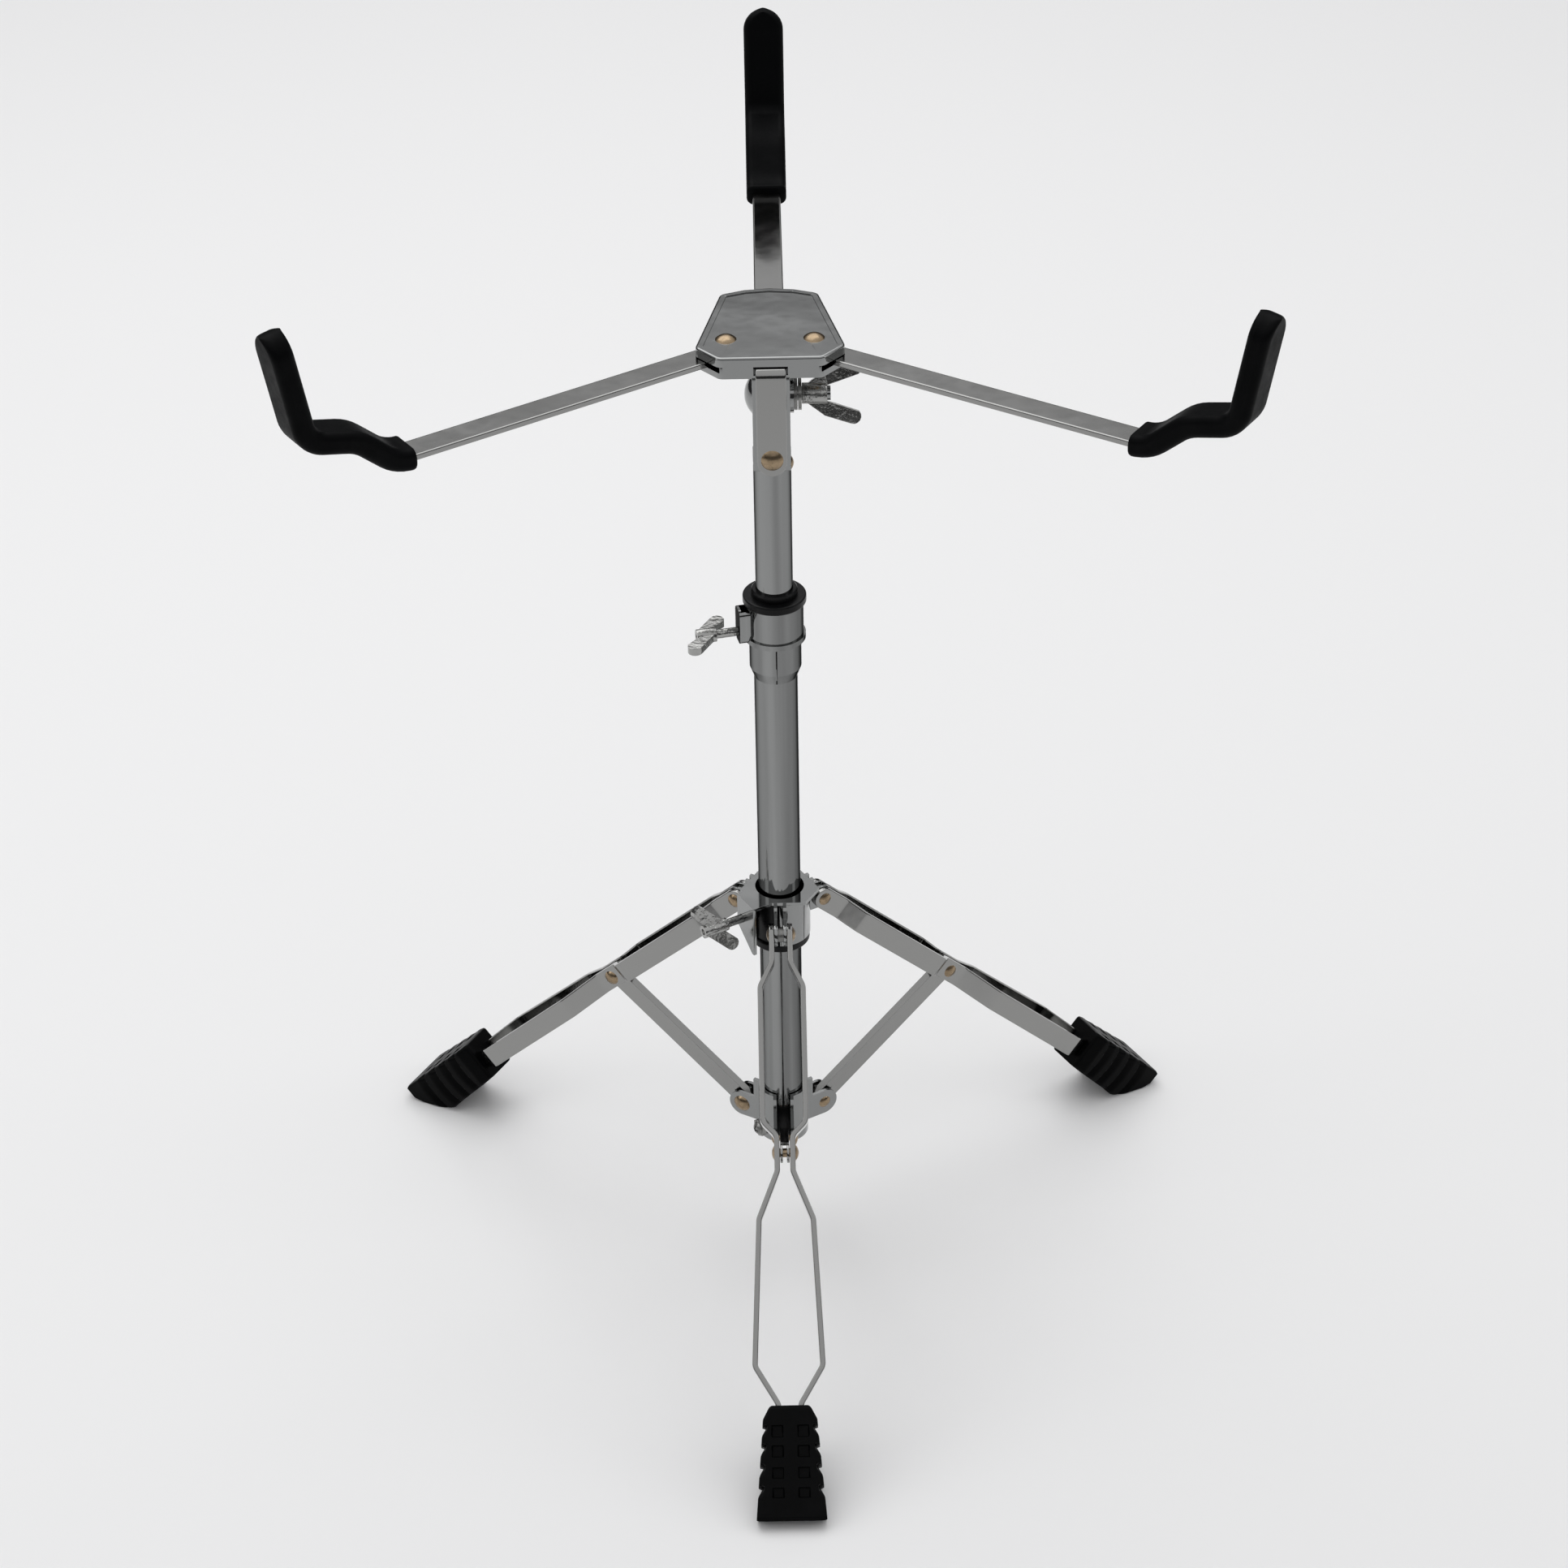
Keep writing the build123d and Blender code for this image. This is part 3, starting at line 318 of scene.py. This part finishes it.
def rounded_line(points, radii):
    """Open line in a plane with an arc at every inner corner, smaller where room is short."""
    points = [Vector(p) for p in points]
    line = [points[0]]
    for before, corner, after, radius in zip(points, points[1:], points[2:], radii):
        into, out = (corner - before), (after - corner)
        turn = into.angle_signed(out, 0.0)
        if abs(turn) < 1e-4:
            continue
        room_before = (END_ROOM if before is points[0] else INNER_ROOM) * into.length
        room_after = (END_ROOM if after is points[-1] else INNER_ROOM) * out.length
        reach = min(radius * math.tan(abs(turn) / 2), room_before, room_after)
        start = corner - into.normalized() * reach
        side = Vector((-into.y, into.x)).normalized() * (-1 if turn > 0 else 1)
        centre = start + side * (reach / math.tan(abs(turn) / 2))
        line += arc_between(start, centre, turn)
    line.append(points[-1])
    return line


def at_distance(line, distance):
    """Point and direction at a distance along a line."""
    for start, end in zip(line, line[1:]):
        length = (end - start).length
        if distance <= length + 1e-9 or end is line[-1]:
            direction = (end - start).normalized()
            return start + direction * distance, direction
        distance -= length


FLAT_SUPPORT = 0.15


def section_ring(half_w, half_t, corner, count=5):
    """Rounded rectangle as (across, through) pairs. Each flat has a vertex at most FLAT_SUPPORT
    inside both of its ends, so that smooth shading leaves it flat."""
    corner = min(corner, half_w * 0.98, half_t * 0.98)
    flats = (half_t - corner, half_w - corner)
    ring = []
    for quarter, (sx, sy) in enumerate(((1, 1), (-1, 1), (-1, -1), (1, -1))):
        before = min(FLAT_SUPPORT, 0.4 * flats[quarter % 2])
        after = min(FLAT_SUPPORT, 0.4 * flats[1 - quarter % 2])
        steps = [(0, -before)] + [(i, 0.0) for i in range(count + 1)] + [(count, after)]
        for i, beyond in steps:
            angle = math.radians(90 * (quarter + i / count))
            ring.append((sx * flats[1] + corner * math.cos(angle) - beyond * math.sin(angle),
                         sy * flats[0] + corner * math.sin(angle) + beyond * math.cos(angle)))
    return ring


def closed_skin(name, rings):
    """A closed mesh over rings of points, with one flat face at each end."""
    bm = bmesh.new()
    rings = [[bm.verts.new(point) for point in ring] for ring in rings]
    count = len(rings[0])
    for low, high in zip(rings, rings[1:]):
        for i in range(count):
            j = (i + 1) % count
            bm.faces.new((low[i], low[j], high[j], high[i]))
    bm.faces.new(rings[0][::-1])
    bm.faces.new(rings[-1])
    bmesh.ops.recalc_face_normals(bm, faces=bm.faces)
    mesh = bpy.data.meshes.new(name)
    bm.to_mesh(mesh)
    bm.free()
    return mesh


ARCH = ("arch", 0.0)
CUT_END = ("edge", 0.3)
# Stations near an end, as shares of its reach. Two that are closer than LEAST_STEP are one.
END_SHARES = (0.0, 0.01, 0.04, 0.1, 0.2, 0.33, 0.5, 0.7, 0.86, 1.0)
LEAST_STEP = 1e-4


def end_reach(end, half_w):
    """How far an end of a strip differs from its even section."""
    kind, rim = end
    return half_w if kind == "arch" else rim


def strip_stops(line, start_reach, finish_reach):
    """Distances along a line: its own points, and stations that close up towards its ends."""
    walked = [0.0]
    for a, b in zip(line, line[1:]):
        walked.append(walked[-1] + (b - a).length)
    stops = set(walked)
    stops |= {start_reach * share for share in END_SHARES}
    stops |= {walked[-1] - finish_reach * share for share in END_SHARES}
    stops = sorted(stops)
    return [stops[0]] + [b for a, b in zip(stops, stops[1:]) if b - a > LEAST_STEP]


def half_section(distance, kind, rim, half_w, half_t):
    """Half width and half thickness of a strip at a distance from one of its ends."""
    if kind == "arch" and distance < half_w:
        return math.sqrt(max(half_w ** 2 - (half_w - distance) ** 2, 1e-3)), half_t
    if kind == "edge" and distance < rim:
        drop = rim - math.sqrt(max(rim ** 2 - (rim - distance) ** 2, 0.0))
        return half_w - drop, half_t - drop
    return half_w, half_t


def strip_mesh(name, line, half_w, half_t, corner, place, start, end):
    """A strip of even section along a plane line. Each end is ARCH, a half round as wide as the
    strip, or ("edge", r), square with its rim eased by r. place turns (along x, along y,
    across) into the row frame."""
    stops = strip_stops(line, end_reach(start, half_w), end_reach(end, half_w))
    rings = []
    for stop in stops:
        point, direction = at_distance(line, stop)
        normal = Vector((-direction.y, direction.x))
        w0, t0 = half_section(stop, *start, half_w, half_t)
        w1, t1 = half_section(stops[-1] - stop, *end, half_w, half_t)
        ring = []
        for across, through in section_ring(min(w0, w1), min(t0, t1), corner):
            spot = point + normal * through
            ring.append(place @ Vector((spot.x, spot.y, across)))
        rings.append(ring)
    return closed_skin(name, rings)


def columns(x, y, z, origin):
    """Matrix from three direction columns in millimetres and an origin in metres."""
    turn = Matrix((x, y, z)).transposed().to_4x4()
    return Matrix.Translation(origin) @ turn @ Matrix.Scale(MM, 4)


# ---------------------------------------------------------------- legs
LEG_PIVOTS = {
    "front": ("leg_hub_rise", "leg_front_fold"),
    "right": ("leg_right_fold", "brace_right_fold"),
    "left": ("leg_left_fold", "brace_left_fold"),
}
STRAP_LINE = [(-6, 4.1), (12.8, 4.1), (24.1, 9.6), (84.4, 9.6), (90.6, 3.5), (106.4, 3.5),
              (127.5, 12.0), (191.5, 14.9), (208.0, 4.9), (240.0, 4.4)]
STRAP_WIDTH = 10.2
STRAP_THICK = 2.4
STRAP_BEND_R = 5.0
STRAP_CORNER = 0.55


def leg_axes(side):
    """Top pivot, direction down the leg, direction across it and its upper normal."""
    top, mid = (Vector(JOINTS[name]["pos_m"]) for name in LEG_PIVOTS[side])
    down = (mid - top).normalized()
    outward = Vector((down.x, down.y, 0)).normalized()
    across = Vector((-outward.y, outward.x, 0))
    return top, down, across, down.cross(across)


def leg_straps(side):
    """Two formed straps, mirrored across the leg. Each starts in a half round about its pivot."""
    top, down, across, normal = leg_axes(side)
    line = rounded_line(STRAP_LINE, [STRAP_BEND_R] * (len(STRAP_LINE) - 2))
    line[0] = Vector((-STRAP_WIDTH / 2, line[0].y))
    for letter, hand in (("a", 1), ("b", -1)):
        place = columns(down, across * hand, normal, top)
        node = f"leg_{side}_strap_{letter}"
        mesh = strip_mesh(node + "_formed", line, STRAP_WIDTH / 2, STRAP_THICK / 2, STRAP_CORNER,
                          place, start=ARCH, end=CUT_END)
        add_piece(node + "_formed", mesh, "strap", f"leg_{side}", "chrome", node)


# ---------------------------------------------------------------- feet
# The foot's side view as reach and height, from its mouth over the top and back along the sole.
FOOT_TOP = [(175.6, 41.3), (177.6, 40.1), (209.9, 7.2), (210.6, 5.4)]
FOOT_SOLE = [(161.6, 26.3), (178.0, 8.0), (182.8, 2.2), (187.5, 0.0), (200.5, 0.0), (205.5, 1.2),
             (209.4, 3.4), (210.6, 5.4)]
# The foot's half width against the distance down the leg.
FOOT_PLAN = [(200.0, 9.4), (209.6, 9.4), (214.5, 12.0), (243.0, 14.3), (268.0, 16.3)]
FOOT_SHELL = 0.12       # the skin lies this far inside the CAD foot
FOOT_LEAST_HEIGHT = 0.3
FOOT_EDGE_EASE = 0.13   # share of the half section that a rounded long edge takes
FOOT_END_EASE = 1.3     # the sides draw in by this, over this length, or half of it at the toe
FOOT_WIDE_STEPS = 80
FOOT_TALL_STEPS = 40
# The step between stations along the foot, and the number of finer steps at either end.
FOOT_STEP = 0.6
MOUTH_STEP = 0.2
MOUTH_STEPS = 9
TOE_STEP = 0.15
TOE_STEPS = 13
# Grooves across the sides, each deepest at a rib's lip and running out down the foot.
RIBS = (217.0, 225.3, 234.0, 243.0)
RIB_LIP = 0.5
RIB_SLOPE = 5.0
RIB_BOW = 1.8
GROOVE_SHARES = (0.80, 0.97)  # of the half width, over which a groove deepens
GROOVE_DEPTH = 1.8
NOTCH_DEPTH = 1.6       # how far the grooves also lower the edges of the top
# Two columns of pockets in the top, on either side of the middle.
POCKET_ROWS = ((217.0, 222.2), (225.6, 230.8), (235.0, 239.8), (243.6, 248.1))
POCKET_COLUMN = (3.1, 8.2)
POCKET_DEPTH = 1.3
POCKET_EASE = 0.4


def smooth_step(value, low, high):
    share = min(max((value - low) / (high - low), 0.0), 1.0)
    return share * share * (3 - 2 * share)


def plateau(value, low, high, ease):
    """1 between low and high, easing to 0 at both."""
    return smooth_step(value, low, low + ease) * (1 - smooth_step(value, high - ease, high))


def along_table(table, x):
    """Straight-line lookup in a table of (x, value) pairs, held level outside it."""
    if x <= table[0][0]:
        return table[0][1]
    for (x0, v0), (x1, v1) in zip(table, table[1:]):
        if x <= x1:
            return v0 + (v1 - v0) * (x - x0) / (x1 - x0)
    return table[-1][1]


class Foot:
    """The rubber foot of one leg, in the leg's own frame: down it, across it, its normal."""

    def __init__(self, side):
        self.side = side
        self.top_pivot, self.down, self.across, self.normal = leg_axes(side)
        self.outward = Vector((self.down.x, self.down.y, 0)).normalized()
        self.top = [self.local(point) for point in FOOT_TOP]
        self.sole = [self.local(point) for point in FOOT_SOLE]
        self.start = self.sole[0][0] + FOOT_SHELL
        self.end = self.top[-1][0] - FOOT_SHELL

    def local(self, point):
        reach, height = point
        spot = self.outward * (reach * MM) + Vector((0, 0, height * MM)) - self.top_pivot
        return spot.dot(self.down) / MM, spot.dot(self.normal) / MM

    def groove(self, x, across, through):
        """Share of the full groove depth at a spot of the skin."""
        depth = 0.0
        for rib in RIBS:
            lip = rib + RIB_BOW * (1 - through ** 2)
            rise = smooth_step(x, lip - RIB_LIP, lip)
            depth = max(depth, rise * (1 - smooth_step(x, lip, lip + RIB_SLOPE)))
        return depth * smooth_step(abs(across), *GROOVE_SHARES)

    def point(self, x, across, through):
        """A point of the skin, from its distance down the leg and its place on the section."""
        half = along_table(FOOT_PLAN, x) - FOOT_SHELL
        low = along_table(self.sole, x) + FOOT_SHELL
        top = max(along_table(self.top, x) - FOOT_SHELL, low + FOOT_LEAST_HEIGHT)
        groove = self.groove(x, across, through)
        y = across * half - math.copysign(GROOVE_DEPTH * groove, across)
        z = low + (top - low) * (through + 1) / 2
        z -= NOTCH_DEPTH * groove * smooth_step(through, 0.5, 1.0)
        if through > 0.9:
            for row in POCKET_ROWS:
                share = plateau(x, *row, POCKET_EASE) * plateau(abs(y), *POCKET_COLUMN, POCKET_EASE)
                z -= POCKET_DEPTH * share
        return Vector((x, y, z))

    def stops(self):
        """Stations down the foot, closer together where its ends and pockets turn."""
        found = {self.start, self.end}
        count = int((self.end - self.start) / FOOT_STEP)
        found |= {self.start + FOOT_STEP * i for i in range(1, count)}
        found |= {self.end - TOE_STEP * i for i in range(1, TOE_STEPS + 1)}
        found |= {self.start + MOUTH_STEP * i for i in range(1, MOUTH_STEPS + 1)}
        for row in POCKET_ROWS:
            found |= {edge + shift for edge in row for shift in (-POCKET_EASE, 0.0, POCKET_EASE)}
        return sorted(found)

    def mesh(self):
        place = columns(self.down, self.across, self.normal, self.top_pivot)
        square = square_loop(FOOT_WIDE_STEPS, FOOT_TALL_STEPS)
        loop = [rounded_share(*spot, FOOT_EDGE_EASE) for spot in square]
        rings = []
        for x in self.stops():
            from_end = min(x - self.start, (self.end - x) * 2.0)
            draw_in = FOOT_END_EASE * (1 - min(from_end / FOOT_END_EASE, 1.0)) ** 2
            half = along_table(FOOT_PLAN, x)
            ring = [self.point(x, across, through) for across, through in loop]
            for spot in ring:
                spot.y *= (half - draw_in) / half
            rings.append([place @ spot for spot in ring])
        return closed_skin(f"foot_{self.side}", rings)


def square_loop(wide_steps, tall_steps):
    """Even steps round the square from -1 to 1, as (across, through) pairs."""
    wide = [i * 2 / wide_steps - 1 for i in range(wide_steps)]
    tall = [i * 2 / tall_steps - 1 for i in range(tall_steps)]
    loop = [(share, 1.0) for share in wide] + [(1.0, -share) for share in tall]
    return loop + [(-share, -1.0) for share in wide] + [(-1.0, share) for share in tall]


def rounded_share(across, through, ease):
    """Move a point near a corner of the unit square onto an arc."""
    if abs(across) <= 1 - ease or abs(through) <= 1 - ease:
        return across, through
    da = (abs(across) - 1 + ease) / ease
    dt = (abs(through) - 1 + ease) / ease
    length = max(math.hypot(da, dt), 1.0)
    return (math.copysign(1 - ease + ease * da / length, across),
            math.copysign(1 - ease + ease * dt / length, through))


def make_foot(side):
    """One moulded piece for the foot of a leg."""
    add_piece(f"foot_{side}_moulded", Foot(side).mesh(), "rubber", f"leg_{side}", "rubber",
              f"leg_{side}_foot")


# ---------------------------------------------------------------- basket arms and grips
ARM_Z = 463.6
ARM_WIDTH = 12.4
ARM_THICK = 2.6
ARM_CORNER = 0.6
ARM_FORWARD_ANGLE = math.radians(33.4)
FRONT_STRAP_Y = -23.9  # mid-plane of the strap that hangs in front of the tilter
FRONT_STRAP_LOW = 416.6
FRONT_STRAP_BEND_R = 3.0
GRIP_WIDTH = 17.7
GRIP_THICK = 9.2
GRIP_CORNER = 3.0
SLEEVE_START = 148.0
GRIP_MOUTH = ("edge", 1.6)
UPRIGHT_LEAN = math.radians(10)
CORNER_REACH = 188.0   # inner face of the upright, at the height of SEAT_CORNER_Z
# The mid-plane of the upright at that height.
UPRIGHT_REACH = CORNER_REACH + GRIP_THICK / 2 / math.cos(UPRIGHT_LEAN)
GRIP_TIP = (200.83, 529.85)
ARM_TIP = (200.3, 527.0)
SEAT_SLOPE = math.radians(15)
SEAT_CORNER_Z = 483.6  # mid-plane of the seat where it meets the upright
BEND_START = 155.6
BEND_END = 171.7
CORNER_SHIFT = 0.2     # the mesh turns up this far outside UPRIGHT_REACH
BEND_END_Z = SEAT_CORNER_Z - (UPRIGHT_REACH - BEND_END) * math.tan(SEAT_SLOPE)
# The bends inside a grip: up from the level of the arm, over into the seat, up the upright.
FORM_LINE = [(BEND_START, ARM_Z), (BEND_END, BEND_END_Z),
             (UPRIGHT_REACH + CORNER_SHIFT, SEAT_CORNER_Z)]
FORM_RADII = [18.0, 18.0, 11.0]


def arm_place(joint, angle):
    """From an arm's own frame (reach, height, across) to the row frame, at its pivot."""
    x, y = (JOINTS[joint]["pos_m"][:2] if joint else (0.0, 0.0))
    reach = Vector((math.cos(angle), math.sin(angle), 0))
    across = Vector((0, 0, 1)).cross(reach)
    return columns(reach, Vector((0, 0, 1)), across, Vector((x, y, 0)))


def grip_mesh(name, place):
    """The rubber grip, from its mouth on the arm to the rounded top of the upright."""
    line = rounded_line([(SLEEVE_START, ARM_Z)] + FORM_LINE + [GRIP_TIP], FORM_RADII)
    return strip_mesh(name, line, GRIP_WIDTH / 2, GRIP_THICK / 2, GRIP_CORNER, place,
                      start=GRIP_MOUTH, end=ARCH)


def arm_mesh(name, place, tail):
    """The steel strap of an arm, from its tail or its pivot to its end inside the grip."""
    radii = [FRONT_STRAP_BEND_R] * (len(tail) - 1) + FORM_RADII
    line = rounded_line(tail + FORM_LINE + [ARM_TIP], radii)
    return strip_mesh(name, line, ARM_WIDTH / 2, ARM_THICK / 2, ARM_CORNER, place,
                      start=ARCH, end=CUT_END)


def make_arms_and_grips():
    """Each front arm starts in a half round about its pivot. The rear arm is riveted to the
    basket and runs on to the front, where it turns down as the front strap."""
    pivoted = [(-ARM_WIDTH / 2, ARM_Z)]
    riveted = [(FRONT_STRAP_Y, FRONT_STRAP_LOW), (FRONT_STRAP_Y, ARM_Z)]
    arms = (
        ("rear", "rear_arm", None, math.radians(90), "basket", riveted),
        ("right", "arm_right", "arm_right_swing", -ARM_FORWARD_ANGLE, "arm_right", pivoted),
        ("left", "arm_left", "arm_left_swing", math.pi + ARM_FORWARD_ANGLE, "arm_left", pivoted),
    )
    for side, node, joint, angle, body, tail in arms:
        place = arm_place(joint, angle)
        strap = arm_mesh(f"{node}_formed", place, tail)
        add_piece(f"{node}_formed", strap, "strap", body, "chrome", node)
        grip = grip_mesh(f"grip_{side}_moulded", place)
        add_piece(f"grip_{side}_moulded", grip, "grip", body, "rubber", f"grip_{side}")


# ---------------------------------------------------------------- studio
# Greys of the surroundings against the Z of the world's generated coordinate.
SKY_GREYS = ((0.0, 0.04), (0.424, 0.06), (0.432, 0.72), (1.0, 0.85))
FLOOR_HALF_SIZE = 6.0
FLOOR_GREY = (0.86, 0.86, 0.86)


def area_light(name, place, target, size, power):
    """A rectangular light that faces its target; sizes in metres, power in watts."""
    data = bpy.data.lights.new(name, "AREA")
    data.shape = "RECTANGLE"
    data.size, data.size_y = size
    data.energy = power
    light = bpy.data.objects.new(name, data)
    light.location = place
    light.rotation_mode = "QUATERNION"
    light.rotation_quaternion = (Vector(target) - Vector(place)).to_track_quat("-Z", "Y")
    bpy.context.scene.collection.objects.link(light)


def make_surroundings():
    """A ramp of greys round the scene, seen without a film curve."""
    bpy.context.scene.view_settings.view_transform = "Standard"
    world = bpy.data.worlds.new("studio")
    bpy.context.scene.world = world
    world.use_nodes = True
    tree = world.node_tree
    coords = tree.nodes.new("ShaderNodeTexCoord").outputs["Generated"]
    split = tree.nodes.new("ShaderNodeSeparateXYZ")
    ramp = tree.nodes.new("ShaderNodeValToRGB")
    ramp.color_ramp.elements[0].position = SKY_GREYS[0][0]
    ramp.color_ramp.elements[1].position = SKY_GREYS[-1][0]
    for place, _ in SKY_GREYS[1:-1]:
        ramp.color_ramp.elements.new(place)
    for element, (_, grey) in zip(ramp.color_ramp.elements, SKY_GREYS):
        element.color = (grey, grey, grey * 1.01, 1.0)
    tree.links.new(coords, split.inputs["Vector"])
    tree.links.new(split.outputs["Z"], ramp.inputs["Fac"])
    tree.links.new(ramp.outputs["Color"], tree.nodes["Background"].inputs["Color"])


def make_lights():
    area_light("overhead", (-0.3, 0.9, 2.2), (0, 0.3, 0), (2.4, 2.0), 20)
    area_light("left", (-1.9, -0.5, 1.3), (0, 0, 0.25), (0.7, 1.4), 4)
    area_light("right", (2.0, -0.2, 1.1), (0, 0, 0.25), (0.6, 1.2), 3)


def make_floor():
    """A plain sheet of pale paper under the feet."""
    mesh = bpy.data.meshes.new("floor")
    bm = bmesh.new()
    bmesh.ops.create_grid(bm, x_segments=1, y_segments=1, size=FLOOR_HALF_SIZE)
    bm.to_mesh(mesh)
    bm.free()
    floor = bpy.data.objects.new("floor", mesh)
    floor.location.z = cad_low.z
    bpy.context.scene.collection.objects.link(floor)
    mesh.materials.append(Shader("pale_paper", FLOOR_GREY, 0.0, 0.9).material)


make_camera()
dress_cad_nodes()
for leg in LEG_PIVOTS:
    leg_straps(leg)
    make_foot(leg)
make_arms_and_grips()
make_surroundings()
make_lights()
make_floor()
